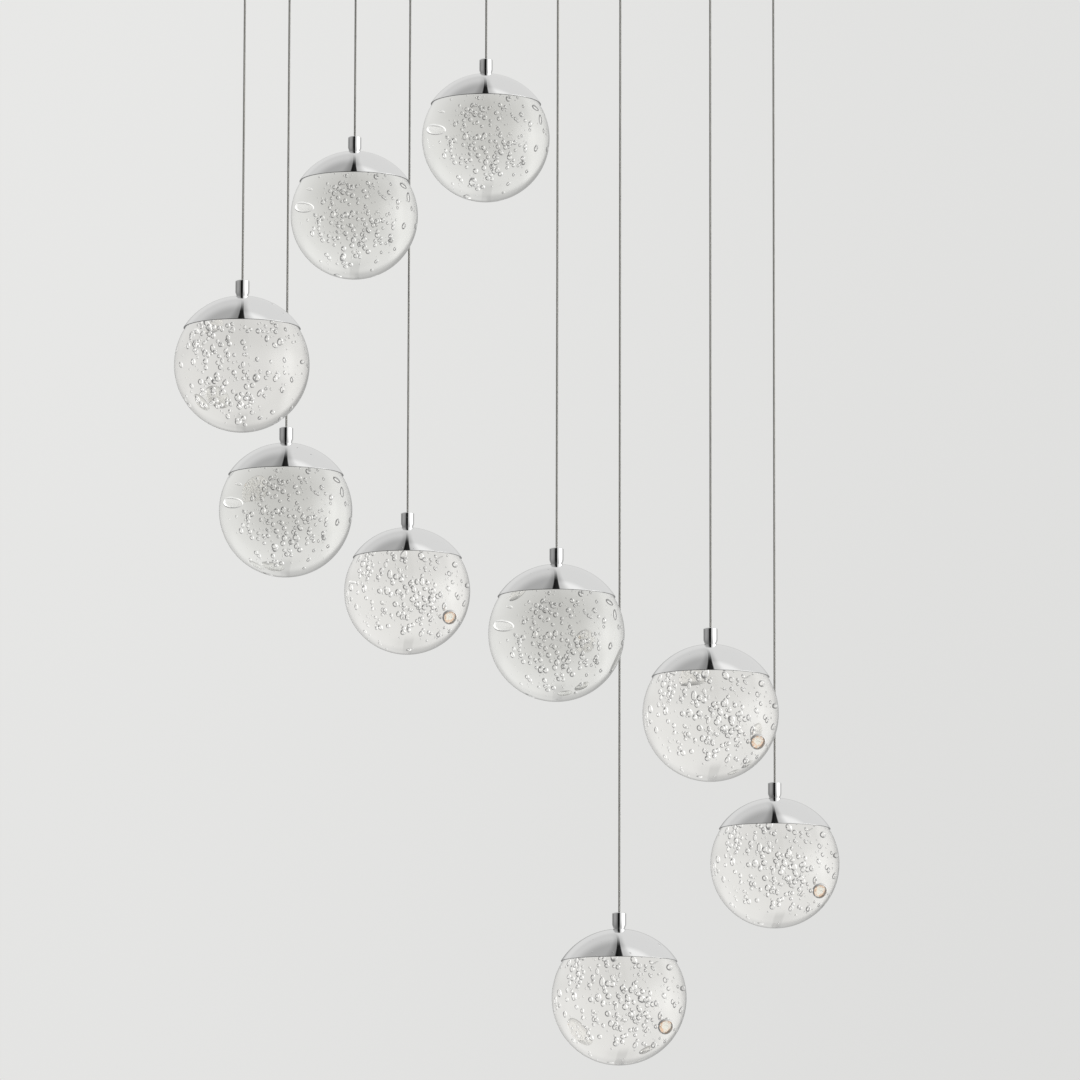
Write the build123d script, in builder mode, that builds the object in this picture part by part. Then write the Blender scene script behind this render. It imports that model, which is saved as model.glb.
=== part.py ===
"""Cluster pendant: nine solid glass globes on thin cables under one round ceiling canopy.

Millimetres, +Z up. The origin is on the ceiling plane, in the middle of the canopy's screw circle.
+X runs to the right and +Y runs to the back as the light is looked at.
"""

from build123d import *
import math
import os

# ---- Globe: a solid ball with its top ground flat
GLOBE_RADIUS = 50.0
LAMP_ROOM_DEPTH = 14.0  # from the top of the full ball down to the ground flat
GLOBE_ARRIS_HEIGHT = 0.4  # bevel where the flat meets the ball
GLOBE_ARRIS_WIDTH = 1.2

# ---- Dome cap, spun over the top of the globe
CAP_CLEARANCE = 0.2  # between glass and metal
CAP_WALL = 1.0
CAP_DEPTH = 24.2  # from the dome's top to its rim
CAP_RIM_BEVEL = 0.5  # outer edge of the rim
CAP_LAND_RADIUS = 8.0  # flat land inside the top, that the lamp holder pulls up against

# ---- Ferrule, the turned piece between cable and cap
FERRULE_RADIUS = 5.2
FERRULE_HEIGHT = 12.2
FERRULE_CROWN = 0.9  # rounding of the top edge
FERRULE_FOOT_WIDTH = 1.2  # taper down to the cap, across one side
FERRULE_FOOT_HEIGHT = 3.2
FERRULE_GRIP_DEPTH = 7.5  # how far the cable goes in
STUB_RADIUS = 3.0
STUB_LENGTH = 7.0  # threaded stub under the foot, through cap and holder
STUB_CLEARANCE = 0.15  # in the cap's hole
WIRE_BORE_RADIUS = 0.5  # the jacket stops where the bore narrows to this, and the cores go on

# ---- Lamp holder and LED board, inside the cap
HOLDER_BOSS_FLATS = 13.0  # hexagonal boss, across flats
HOLDER_PLATE = 5.0
HOLDER_GAP = 0.7  # between the plate's corners and the dome
BOARD_WIDTH = 30.0
BOARD_THICKNESS = 1.6
BOARD_GAP = 0.15  # all round the board in its pocket
CHIP_WIDTH = 12.0
CHIP_HEIGHT = 0.8
LIGHT_GAP = 0.4  # between the chip and the glass

# ---- Cable
CABLE_RADIUS = 0.8
CABLE_BORE_GAP = 0.15  # between the cable and the ferrule's bore

# ---- Canopy: a round plate with a rolled band standing on it
CANOPY_DEPTH = 40.0
CANOPY_EDGE_MARGIN = 27.0  # from the outlets' reach to the canopy's edge
CANOPY_PLATE = 1.5
PLATE_ROUNDING = 0.8  # of the plate's lower edge
BAND_WALL = 1.2
BAND_LIP = 6.0  # both edges of the band are turned in
BAND_CORNER = 2.0  # outside the turned edges

# ---- Mounting cross
BAR_WIDTH = 36.0
BAR_THICKNESS = 2.5
BAR_FLANGE = 9.0
BAR_END_MARGIN = 14.0  # past the studs
SCREW_CIRCLE_RADIUS = 150.0
SCREW_HOLE_RADIUS = 2.75
BOX_SLOT_SPACING = 88.9
BOX_SLOT_LENGTH = 20.0
BOX_SLOT_RADIUS = 2.4
WIRE_ENTRY_RADIUS = 12.0

# ---- Studs under the cross, and the cap nuts on them
STUD_EDGE_MARGIN = 75.0  # from the studs to the canopy's edge
STUD_RADIUS = 2.5
STUD_CLEARANCE = 0.3  # in the plate's holes
NUT_FLATS = 8.0
NUT_HEIGHT = 5.0
NUT_DOME_RADIUS = 3.6

# ---- Cable grips through the canopy
GRIP_STEM_RADIUS = 5.0
GRIP_STEM_CLEARANCE = 0.2
GRIP_THREAD_LENGTH = 8.0  # above the canopy's plate
GRIP_HEX_FLATS = 14.0
GRIP_HEX_HEIGHT = 4.0
GRIP_BODY_RADIUS = 6.0
GRIP_BODY_HEIGHT = 8.0
GRIP_NECK_RADIUS = 5.2  # neck between the body and the release sleeve
GRIP_NECK_HEIGHT = 1.2
GRIP_SLEEVE_HEIGHT = 4.0
GRIP_NOSE_HEIGHT = 5.0
GRIP_NOSE_RADIUS = 3.0
GRIP_MOUTH_RADIUS = 1.8
GRIP_MOUTH_DEPTH = 3.0
JAW_BITE = 0.2  # how far the closed jaws bite into the cable's jacket
GRIP_NUT_FLATS = 14.0
GRIP_NUT_HEIGHT = 3.5

# ---- LED driver on the canopy's plate
DRIVER_LENGTH = 150.0
DRIVER_WIDTH = 44.0
DRIVER_HEIGHT = 24.0
DRIVER_CORNER = 4.0
DRIVER_DECK_LENGTH = 16.0  # low terminal deck at each end
DRIVER_DECK_HEIGHT = 12.0
DRIVER_POCKET = 7.0  # wire pockets in the decks
DRIVER_POCKET_DEPTH = 8.0
DRIVER_POCKET_PITCH = 11.0
DRIVER_X = -72.0
DRIVER_Y = 52.0

# ---- The nine pendants
OUTLET_REACH = 263.0  # from the canopy's middle to the farthest outlet
LONGEST_DROP = 893.0  # from the ceiling to the lowest globe's centre
# Outlet X and Y in hundredths of OUTLET_REACH, and drop in hundredths of LONGEST_DROP
SHARES = [
    (-66.70, -74.50, 48.52),
    (-55.46, -34.60, 58.96),
    (-38.65, 52.50, 28.91),
    (-22.93, 90.50, 60.75),
    (0.63, 43.30, 22.48),
    (21.76, -77.60, 70.97),
    (39.77, -40.30, 100.00),
    (64.83, -73.00, 77.39),
    (86.54, 47.90, 86.20),
]
PENDANTS = [
    (OUTLET_REACH * x / 100, OUTLET_REACH * y / 100, LONGEST_DROP * drop / 100) for x, y, drop in SHARES
]

# ---- Worked out from the sizes above, with heights counted from the globe's centre
FLAT_HEIGHT = GLOBE_RADIUS - LAMP_ROOM_DEPTH
CAP_INNER_RADIUS = GLOBE_RADIUS + CAP_CLEARANCE
CAP_RADIUS = CAP_INNER_RADIUS + CAP_WALL
RIM_HEIGHT = CAP_RADIUS - CAP_DEPTH
FERRULE_FOOT_RADIUS = FERRULE_RADIUS - FERRULE_FOOT_WIDTH
SEAT_HEIGHT = math.sqrt(CAP_RADIUS**2 - FERRULE_FOOT_RADIUS**2)  # flat that the ferrule stands on
LAND_HEIGHT = math.sqrt(CAP_INNER_RADIUS**2 - CAP_LAND_RADIUS**2)
FERRULE_TOP = SEAT_HEIGHT + FERRULE_HEIGHT
CABLE_END = FERRULE_TOP - FERRULE_GRIP_DEPTH
PLATE_TOP = FLAT_HEIGHT + HOLDER_PLATE
PLATE_RADIUS = math.sqrt(CAP_INNER_RADIUS**2 - PLATE_TOP**2) - HOLDER_GAP
BOARD_BOTTOM = FLAT_HEIGHT + LIGHT_GAP + CHIP_HEIGHT
BOARD_TOP = BOARD_BOTTOM + BOARD_THICKNESS

# ---- Worked out from the sizes above, with heights counted from the ceiling
CANOPY_RADIUS = OUTLET_REACH + CANOPY_EDGE_MARGIN
STUD_CIRCLE_RADIUS = CANOPY_RADIUS - STUD_EDGE_MARGIN
CANOPY_FLOOR = CANOPY_PLATE - CANOPY_DEPTH  # upper face of the plate
GRIP_BODY_TOP = -CANOPY_DEPTH - GRIP_HEX_HEIGHT
GRIP_NECK_TOP = GRIP_BODY_TOP - GRIP_BODY_HEIGHT
GRIP_SLEEVE_TOP = GRIP_NECK_TOP - GRIP_NECK_HEIGHT
GRIP_NOSE_TOP = GRIP_SLEEVE_TOP - GRIP_SLEEVE_HEIGHT
GRIP_MOUTH = GRIP_NOSE_TOP - GRIP_NOSE_HEIGHT
GRIP_TOP = CANOPY_FLOOR + GRIP_THREAD_LENGTH
CABLE_TOP = GRIP_MOUTH + GRIP_MOUTH_DEPTH  # at the jaws
STUD_LENGTH = CANOPY_DEPTH + NUT_HEIGHT
BAR_LENGTH = 2 * (STUD_CIRCLE_RADIUS + BAR_END_MARGIN)

OUTLETS = [(x, y) for x, y, drop in PENDANTS]

os.makedirs("parts", exist_ok=True)


def save(part, label):
    """Name a finished piece and write it to its own file."""
    part.label = label
    export_step(part, f"parts/{label}.step")


def profile_plane(x, y, z):
    """Upright plane through a pendant's axis: its X is the radius and its Y is the height."""
    return Plane(origin=(x, y, z), x_dir=(1, 0, 0), z_dir=(0, -1, 0))


def pendant_axis(x, y):
    return Axis((x, y, 0), (0, 0, 1))


def make_globe(x, y, z):
    """Solid ball, ground flat on top, with a bevelled arris round the flat."""
    with BuildPart() as globe:
        with BuildSketch(profile_plane(x, y, z)):
            with BuildLine():
                shoulder = math.degrees(math.asin((FLAT_HEIGHT - GLOBE_ARRIS_HEIGHT) / GLOBE_RADIUS))
                ball = CenterArc((0, 0), GLOBE_RADIUS, -90, 90 + shoulder)
                flat_radius = (ball @ 1).X - GLOBE_ARRIS_WIDTH
                Polyline(ball @ 1, (flat_radius, FLAT_HEIGHT), (0, FLAT_HEIGHT), (0, -GLOBE_RADIUS))
            make_face()
        revolve(axis=pendant_axis(x, y))
    return globe.part


def dome_arc(radius, low, high):
    """Arc round the globe's centre, between two heights."""
    start = math.degrees(math.asin(low / radius))
    return CenterArc((0, 0), radius, start, math.degrees(math.asin(high / radius)) - start)


def make_cap(x, y, z):
    """Dome shell with a seat for the ferrule on top and a flat land inside."""
    with BuildPart() as cap:
        with BuildSketch(profile_plane(x, y, z)):
            with BuildLine():
                outer = dome_arc(CAP_RADIUS, RIM_HEIGHT + CAP_RIM_BEVEL, SEAT_HEIGHT)
                inner = dome_arc(CAP_INNER_RADIUS, RIM_HEIGHT, LAND_HEIGHT)
                hole = STUB_RADIUS + STUB_CLEARANCE
                Polyline(outer @ 1, (hole, SEAT_HEIGHT), (hole, LAND_HEIGHT), inner @ 1)
                rim_edge = ((outer @ 0).X - CAP_RIM_BEVEL / 2, RIM_HEIGHT)
                Polyline(outer @ 0, rim_edge, inner @ 0)
            make_face()
        revolve(axis=pendant_axis(x, y))
    return cap.part


def make_ferrule(x, y, z):
    """Turned ferrule: crowned head, tapered foot, blind bore for the cable, and a hollow stub."""
    with BuildPart() as ferrule:
        with BuildSketch(profile_plane(x, y, z)):
            with BuildLine():
                stub_end = SEAT_HEIGHT - STUB_LENGTH
                crown = CenterArc(
                    (FERRULE_RADIUS - FERRULE_CROWN, FERRULE_TOP - FERRULE_CROWN), FERRULE_CROWN, 0, 90
                )
                Polyline(
                    crown @ 0,
                    (FERRULE_RADIUS, SEAT_HEIGHT + FERRULE_FOOT_HEIGHT),
                    (FERRULE_FOOT_RADIUS, SEAT_HEIGHT),
                    (STUB_RADIUS, SEAT_HEIGHT),
                    (STUB_RADIUS, stub_end),
                    (WIRE_BORE_RADIUS, stub_end),
                    (WIRE_BORE_RADIUS, CABLE_END),
                    (CABLE_RADIUS + CABLE_BORE_GAP, CABLE_END),
                    (CABLE_RADIUS + CABLE_BORE_GAP, FERRULE_TOP),
                    crown @ 1,
                )
            make_face()
        revolve(axis=pendant_axis(x, y))
    return ferrule.part


def make_holder(x, y, z):
    """Milled aluminium holder: plate bonded to the glass, board pocket, and threaded hexagonal boss."""
    with BuildPart() as holder:
        with BuildSketch(Plane((x, y, z + FLAT_HEIGHT))):
            RegularPolygon(PLATE_RADIUS, 8, rotation=22.5)
        extrude(amount=HOLDER_PLATE)
        with BuildSketch(Plane((x, y, z + PLATE_TOP))):
            RegularPolygon(HOLDER_BOSS_FLATS / 2, 6, major_radius=False)
        extrude(amount=LAND_HEIGHT - PLATE_TOP)
        with BuildSketch(Plane((x, y, z + FLAT_HEIGHT))):
            Rectangle(BOARD_WIDTH + 2 * BOARD_GAP, BOARD_WIDTH + 2 * BOARD_GAP)
        extrude(amount=BOARD_TOP - FLAT_HEIGHT, mode=Mode.SUBTRACT)
        with BuildSketch(Plane((x, y, z + FLAT_HEIGHT))):
            Circle(STUB_RADIUS)
        extrude(amount=LAND_HEIGHT - FLAT_HEIGHT, mode=Mode.SUBTRACT)
    return holder.part


def make_board(x, y, z):
    """LED board with its square light-giving chip facing the glass."""
    with BuildPart() as board:
        with BuildSketch(Plane((x, y, z + BOARD_BOTTOM))):
            Rectangle(BOARD_WIDTH, BOARD_WIDTH)
        extrude(amount=BOARD_THICKNESS)
        with BuildSketch(Plane((x, y, z + BOARD_BOTTOM - CHIP_HEIGHT))):
            Rectangle(CHIP_WIDTH, CHIP_WIDTH)
        extrude(amount=CHIP_HEIGHT)
    return board.part


def make_cable(x, y, z):
    """Cable drawn straight by the globe's weight, from the grip's jaws into the ferrule."""
    with BuildPart() as cable:
        with BuildSketch(Plane((x, y, z + CABLE_END))):
            Circle(CABLE_RADIUS)
        extrude(amount=CABLE_TOP - CABLE_END - z)
    return cable.part


for number, (x, y, drop) in enumerate(PENDANTS, start=1):
    save(make_cable(x, y, -drop), f"cable_{number}")
    save(make_ferrule(x, y, -drop), f"ferrule_{number}")
    save(make_cap(x, y, -drop), f"cap_{number}")
    save(make_holder(x, y, -drop), f"lamp_holder_{number}")
    save(make_board(x, y, -drop), f"led_board_{number}")
    save(make_globe(x, y, -drop), f"globe_{number}")

# ---- Canopy plate: round, with a rounded lower edge and holes for the grips and the studs
with BuildPart() as plate:
    with BuildSketch(Plane.XZ):
        with BuildLine():
            edge = CenterArc(
                (CANOPY_RADIUS - PLATE_ROUNDING, PLATE_ROUNDING - CANOPY_DEPTH), PLATE_ROUNDING, -90, 90
            )
            Polyline(
                edge @ 1, (CANOPY_RADIUS, CANOPY_FLOOR), (0, CANOPY_FLOOR), (0, -CANOPY_DEPTH), edge @ 0
            )
        make_face()
    revolve(axis=Axis.Z)
    with BuildSketch(Plane.XY.offset(-CANOPY_DEPTH)):
        with Locations(OUTLETS):
            Circle(GRIP_STEM_RADIUS + GRIP_STEM_CLEARANCE)
        with PolarLocations(STUD_CIRCLE_RADIUS, 4):
            Circle(STUD_RADIUS + STUD_CLEARANCE)
    extrude(amount=CANOPY_PLATE, mode=Mode.SUBTRACT)
save(plate.part, "canopy_plate")

# ---- Canopy band: rolled hoop with both edges turned in, plug-welded on the plate
with BuildPart() as band:
    with BuildSketch(Plane.XZ):
        with BuildLine():
            bend = CANOPY_RADIUS - BAND_CORNER
            lip = CANOPY_RADIUS - BAND_LIP
            low_outer = CenterArc((bend, CANOPY_FLOOR + BAND_CORNER), BAND_CORNER, -90, 90)
            low_inner = CenterArc((bend, CANOPY_FLOOR + BAND_CORNER), BAND_CORNER - BAND_WALL, -90, 90)
            high_outer = CenterArc((bend, -BAND_CORNER), BAND_CORNER, 0, 90)
            high_inner = CenterArc((bend, -BAND_CORNER), BAND_CORNER - BAND_WALL, 0, 90)
            Line(low_outer @ 1, high_outer @ 0)
            Polyline(high_outer @ 1, (lip, 0), (lip, -BAND_WALL), high_inner @ 1)
            Line(high_inner @ 0, low_inner @ 1)
            Polyline(low_inner @ 0, (lip, CANOPY_FLOOR + BAND_WALL), (lip, CANOPY_FLOOR), low_outer @ 0)
        make_face()
    revolve(axis=Axis.Z)
save(band.part, "canopy_band")

# ---- Mounting cross: two channel bars welded in a cross, with four threaded studs
with BuildPart() as cross:
    with BuildSketch():
        Rectangle(BAR_LENGTH, BAR_WIDTH)
        Rectangle(BAR_WIDTH, BAR_LENGTH)
    extrude(amount=-BAR_FLANGE)
    with BuildSketch(Plane.XY.offset(-BAR_THICKNESS)):
        hollow_width = BAR_WIDTH - 2 * BAR_THICKNESS
        Rectangle(BAR_LENGTH, hollow_width)
        Rectangle(hollow_width, BAR_LENGTH)
    extrude(amount=BAR_THICKNESS - BAR_FLANGE, mode=Mode.SUBTRACT)
    with BuildSketch():
        Circle(WIRE_ENTRY_RADIUS)
        with PolarLocations(SCREW_CIRCLE_RADIUS, 4):
            Circle(SCREW_HOLE_RADIUS)
        with GridLocations(BOX_SLOT_SPACING, 0, 2, 1):
            SlotOverall(BOX_SLOT_LENGTH, 2 * BOX_SLOT_RADIUS)
    extrude(amount=-BAR_THICKNESS, mode=Mode.SUBTRACT)

# The studs are welded under the ends of the bars, and go down through the plate
with BuildPart() as studs:
    with BuildSketch(Plane.XY.offset(-BAR_THICKNESS)):
        with PolarLocations(STUD_CIRCLE_RADIUS, 4):
            Circle(STUD_RADIUS)
    extrude(amount=BAR_THICKNESS - STUD_LENGTH)
save(Compound(cross.part.solids() + studs.part.solids()), "mounting_cross")

# ---- Cap nuts: hexagons with a domed end, on the studs under the canopy
with BuildPart() as cap_nuts:
    with BuildSketch(Plane.XY.offset(-CANOPY_DEPTH)):
        with PolarLocations(STUD_CIRCLE_RADIUS, 4):
            RegularPolygon(NUT_FLATS / 2, 6, major_radius=False)
    extrude(amount=-NUT_HEIGHT)
    with Locations((0, 0, -CANOPY_DEPTH - NUT_HEIGHT)):
        with PolarLocations(STUD_CIRCLE_RADIUS, 4):
            Sphere(NUT_DOME_RADIUS, arc_size1=-90, arc_size2=0)
    with BuildSketch(Plane.XY.offset(-CANOPY_DEPTH)):
        with PolarLocations(STUD_CIRCLE_RADIUS, 4):
            Circle(STUD_RADIUS)
    extrude(amount=-NUT_HEIGHT, mode=Mode.SUBTRACT)
save(cap_nuts.part, "cap_nuts")

# ---- Cable grips: threaded stem, hexagon, body, neck, release sleeve, tapered nose, and a nut on the stem
with BuildPart() as grips:
    for x, y in OUTLETS:
        with BuildSketch(profile_plane(x, y, 0)):
            with BuildLine():
                Polyline(
                    (0, GRIP_TOP),
                    (GRIP_STEM_RADIUS, GRIP_TOP),
                    (GRIP_STEM_RADIUS, GRIP_BODY_TOP),
                    (GRIP_BODY_RADIUS, GRIP_BODY_TOP),
                    (GRIP_BODY_RADIUS, GRIP_NECK_TOP),
                    (GRIP_NECK_RADIUS, GRIP_NECK_TOP),
                    (GRIP_NECK_RADIUS, GRIP_SLEEVE_TOP),
                    (GRIP_BODY_RADIUS, GRIP_SLEEVE_TOP),
                    (GRIP_BODY_RADIUS, GRIP_NOSE_TOP),
                    (GRIP_NOSE_RADIUS, GRIP_MOUTH),
                    (0, GRIP_MOUTH),
                    close=True,
                )
            make_face()
        revolve(axis=pendant_axis(x, y))
    with BuildSketch(Plane.XY.offset(-CANOPY_DEPTH)):
        with Locations(OUTLETS):
            RegularPolygon(GRIP_HEX_FLATS / 2, 6, major_radius=False)
    extrude(amount=-GRIP_HEX_HEIGHT)
    with BuildSketch(Plane.XY.offset(GRIP_MOUTH)):
        with Locations(OUTLETS):
            Circle(GRIP_MOUTH_RADIUS)
    extrude(amount=GRIP_MOUTH_DEPTH, mode=Mode.SUBTRACT)
    with BuildSketch(Plane.XY.offset(CABLE_TOP)):
        with Locations(OUTLETS):
            Circle(CABLE_RADIUS - JAW_BITE)
    extrude(amount=GRIP_TOP - CABLE_TOP, mode=Mode.SUBTRACT)

# The hexagonal nuts are inside the canopy, one on each grip's stem
with BuildPart() as grip_nuts:
    with BuildSketch(Plane.XY.offset(CANOPY_FLOOR)):
        with Locations(OUTLETS):
            RegularPolygon(GRIP_NUT_FLATS / 2, 6, major_radius=False)
            Circle(GRIP_STEM_RADIUS, mode=Mode.SUBTRACT)
    extrude(amount=GRIP_NUT_HEIGHT)
save(Compound(grips.part.solids() + grip_nuts.part.solids()), "cable_grips")

# ---- LED driver: moulded case with a low terminal deck and wire pockets at each end
with BuildPart() as driver:
    with BuildSketch(Plane((DRIVER_X, DRIVER_Y, CANOPY_FLOOR))):
        RectangleRounded(DRIVER_LENGTH, DRIVER_WIDTH, DRIVER_CORNER)
    extrude(amount=DRIVER_HEIGHT)
    deck_plane = Plane((DRIVER_X, DRIVER_Y, CANOPY_FLOOR + DRIVER_DECK_HEIGHT))
    with BuildSketch(deck_plane):
        with GridLocations(DRIVER_LENGTH - DRIVER_DECK_LENGTH, 0, 2, 1):
            Rectangle(DRIVER_DECK_LENGTH, DRIVER_WIDTH)
    extrude(amount=DRIVER_HEIGHT - DRIVER_DECK_HEIGHT, mode=Mode.SUBTRACT)
    with BuildSketch(deck_plane):
        with GridLocations(DRIVER_LENGTH - DRIVER_DECK_LENGTH, DRIVER_POCKET_PITCH, 2, 3):
            Rectangle(DRIVER_POCKET, DRIVER_POCKET)
    extrude(amount=-DRIVER_POCKET_DEPTH, mode=Mode.SUBTRACT)
save(driver.part, "led_driver")
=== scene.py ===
"""Looks of the cluster pendant: bubble-glass globes, chrome dome caps and ferrules, and braided
cables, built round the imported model. Metres, +Z up; the origin is on the ceiling plane."""
import math

import bpy
import numpy as np
from mathutils import Euler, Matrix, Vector


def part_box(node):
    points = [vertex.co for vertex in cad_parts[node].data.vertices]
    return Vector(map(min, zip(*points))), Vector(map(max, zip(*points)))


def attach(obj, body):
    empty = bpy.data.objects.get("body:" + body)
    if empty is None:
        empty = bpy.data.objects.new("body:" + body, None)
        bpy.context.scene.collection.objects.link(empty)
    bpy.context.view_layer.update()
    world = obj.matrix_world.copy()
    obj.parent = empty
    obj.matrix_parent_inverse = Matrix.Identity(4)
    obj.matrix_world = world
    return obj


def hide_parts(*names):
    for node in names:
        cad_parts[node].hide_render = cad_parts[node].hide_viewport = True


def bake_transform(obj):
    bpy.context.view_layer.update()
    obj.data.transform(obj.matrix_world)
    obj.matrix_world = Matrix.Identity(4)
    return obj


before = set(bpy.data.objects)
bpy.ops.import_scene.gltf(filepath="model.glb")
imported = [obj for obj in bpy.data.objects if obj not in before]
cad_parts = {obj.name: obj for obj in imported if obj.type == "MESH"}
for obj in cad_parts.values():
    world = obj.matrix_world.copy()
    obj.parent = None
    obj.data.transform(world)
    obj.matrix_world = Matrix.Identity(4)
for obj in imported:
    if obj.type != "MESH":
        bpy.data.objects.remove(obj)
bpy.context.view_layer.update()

MM = 0.001
PENDANTS = range(1, sum(name.startswith("globe_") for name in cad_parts) + 1)

# ---- Camera: where it stood, worked out from the photograph
FOCAL_PX = 7412  # focal length in pixels of the 1080-pixel frame
FRAME_PX = 1080
SENSOR_MM = 36.0
CAMERA_DISTANCE = 5.65
CAMERA_PITCH = math.radians(8.2)  # it looks up
CAMERA_ROLL = math.radians(0.155)
AIM = Vector((0.045, 0.0, -0.535))
FARTHEST_SEEN = 100.0

# ---- Stage
FLOOR_Z = -3.0
FLOOR_SIZE = 60.0

# ---- Globe
GLASS_IOR = 1.49
ARRIS_HEIGHT, ARRIS_WIDTH = 0.4 * MM, 1.2 * MM  # bevel round the ground flat
FLAT_GAP = 0.02 * MM  # from the flat to the lamp holder
GROUND_BAND = 0.2 * MM  # faces this near the flat's height are ground
GLASS_OVER_BUBBLES = 6 * MM  # least clear glass under the flat

# ---- Bubbles
SMALL_BUBBLE = 5, 9  # rings and sides of one bubble
LARGE_BUBBLE = 13, 26
TRIES_PER_BUBBLE = 8
FILLED_SHARE = 0.98  # of the globe's radius
BACK_THINNING = 0.5  # how much smaller the bubbles at the very back are
LEAN_SPREAD = 0.3  # in radians

# ---- Cap
CAP_CLEARANCE = 0.2 * MM  # between cap and glass
CAP_WALL = 1.0 * MM
RIM_ROLL = 0.35 * MM
STUB_HOLE = 3.15 * MM
LAND_RADIUS = 8 * MM  # of the flat land under the seat
PAINTED_SHADE_ROWS = 4  # rows of faces on the rim's underside, which carry the painted shade line

# ---- Ferrule: heights, insets and radii
CROWN = 0.9 * MM
FOOT_HEIGHT, FOOT_INSET = 3.2 * MM, 1.2 * MM
CABLE_BORE, BORE_DEPTH, BORE_BEVEL = 0.95 * MM, 7.5 * MM, 0.25 * MM
STUB_RADIUS, WIRE_HOLE = 3.0 * MM, 0.5 * MM

# ---- Surface resolution
SHARP_EDGE = math.radians(35)
ON_AXIS = 1e-9  # a profile's point this near the axis is a pole
RIM_SEGMENTS = 128
FERRULE_SEGMENTS = 48
CABLE_SIDES = 12
CABLE_STEP = 3 * MM
GLOBE_STEPS, FLAT_RINGS = 72, 5
DOME_STEPS, LINER_STEPS, ROLL_STEPS = 60, 40, 7
CROWN_STEPS = 12


# ======================= Mesh helpers =======================

def new_mesh_object(name, vertices, faces, materials):
    """A mesh object at the origin, smooth but for its sharp edges."""
    mesh = bpy.data.meshes.new(name)
    mesh.from_pydata(vertices.tolist(), [], faces)
    mesh.shade_smooth()
    mesh.set_sharp_from_angle(angle=SHARP_EDGE)
    for material in materials:
        mesh.materials.append(material)
    piece = bpy.data.objects.new(name, mesh)
    bpy.context.scene.collection.objects.link(piece)
    return piece


def arc(centre, radius, start, end, steps):
    """Points (r, z) = centre + radius (cos a, sin a), with the angle a running from start to end."""
    a = np.radians(np.linspace(start, end, steps))
    return np.column_stack([centre[0] + radius * np.cos(a), centre[1] + radius * np.sin(a)])


def elevation(height, radius):
    """Angle in degrees at which a circle round the origin reaches a height."""
    return math.degrees(math.asin(height / radius))


def turned_grid(profile, segments, closed):
    """Surface of revolution (r cos a, r sin a, z): a profile (r, z) carried round the upright axis.
    The profile runs anticlockwise round the metal, so that faces point out. A first or last point on
    the axis becomes one pole vertex; a closed profile joins its last row to its first."""
    a = np.linspace(0, 2 * math.pi, segments, endpoint=False)
    low_pole, high_pole = profile[0, 0] < ON_AXIS, profile[-1, 0] < ON_AXIS
    rings = profile[int(low_pole):len(profile) - int(high_pole)]
    grid = np.empty((len(rings), segments, 3))
    grid[..., 0] = rings[:, :1] * np.cos(a)
    grid[..., 1] = rings[:, :1] * np.sin(a)
    grid[..., 2] = rings[:, 1:]
    vertices = grid.reshape(-1, 3)
    here = np.arange(segments)
    after = (here + 1) % segments
    rows = np.arange(len(rings) if closed else len(rings) - 1)[:, None] * segments
    above = (rows + segments) % len(vertices) if closed else rows + segments
    quads = np.stack([rows + here, rows + after, above + after, above + here], axis=-1)
    faces = quads.reshape(-1, 4).tolist()
    if low_pole:
        pole = len(vertices)
        vertices = np.vstack([vertices, [0, 0, profile[0, 1]]])
        faces += np.column_stack([after, here, np.full(segments, pole)]).tolist()
    if high_pole:
        pole = len(vertices)
        vertices = np.vstack([vertices, [0, 0, profile[-1, 1]]])
        top = (len(rings) - 1) * segments
        faces += np.column_stack([top + here, top + after, np.full(segments, pole)]).tolist()
    return vertices, faces


def round_node(name):
    """Plan position of a round node's upright axis, its lowest and highest point, and its radius."""
    low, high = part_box(name)
    return (low.x + high.x) / 2, (low.y + high.y) / 2, low.z, high.z, (high.x - low.x) / 2


# ======================= Shader helpers =======================

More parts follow.
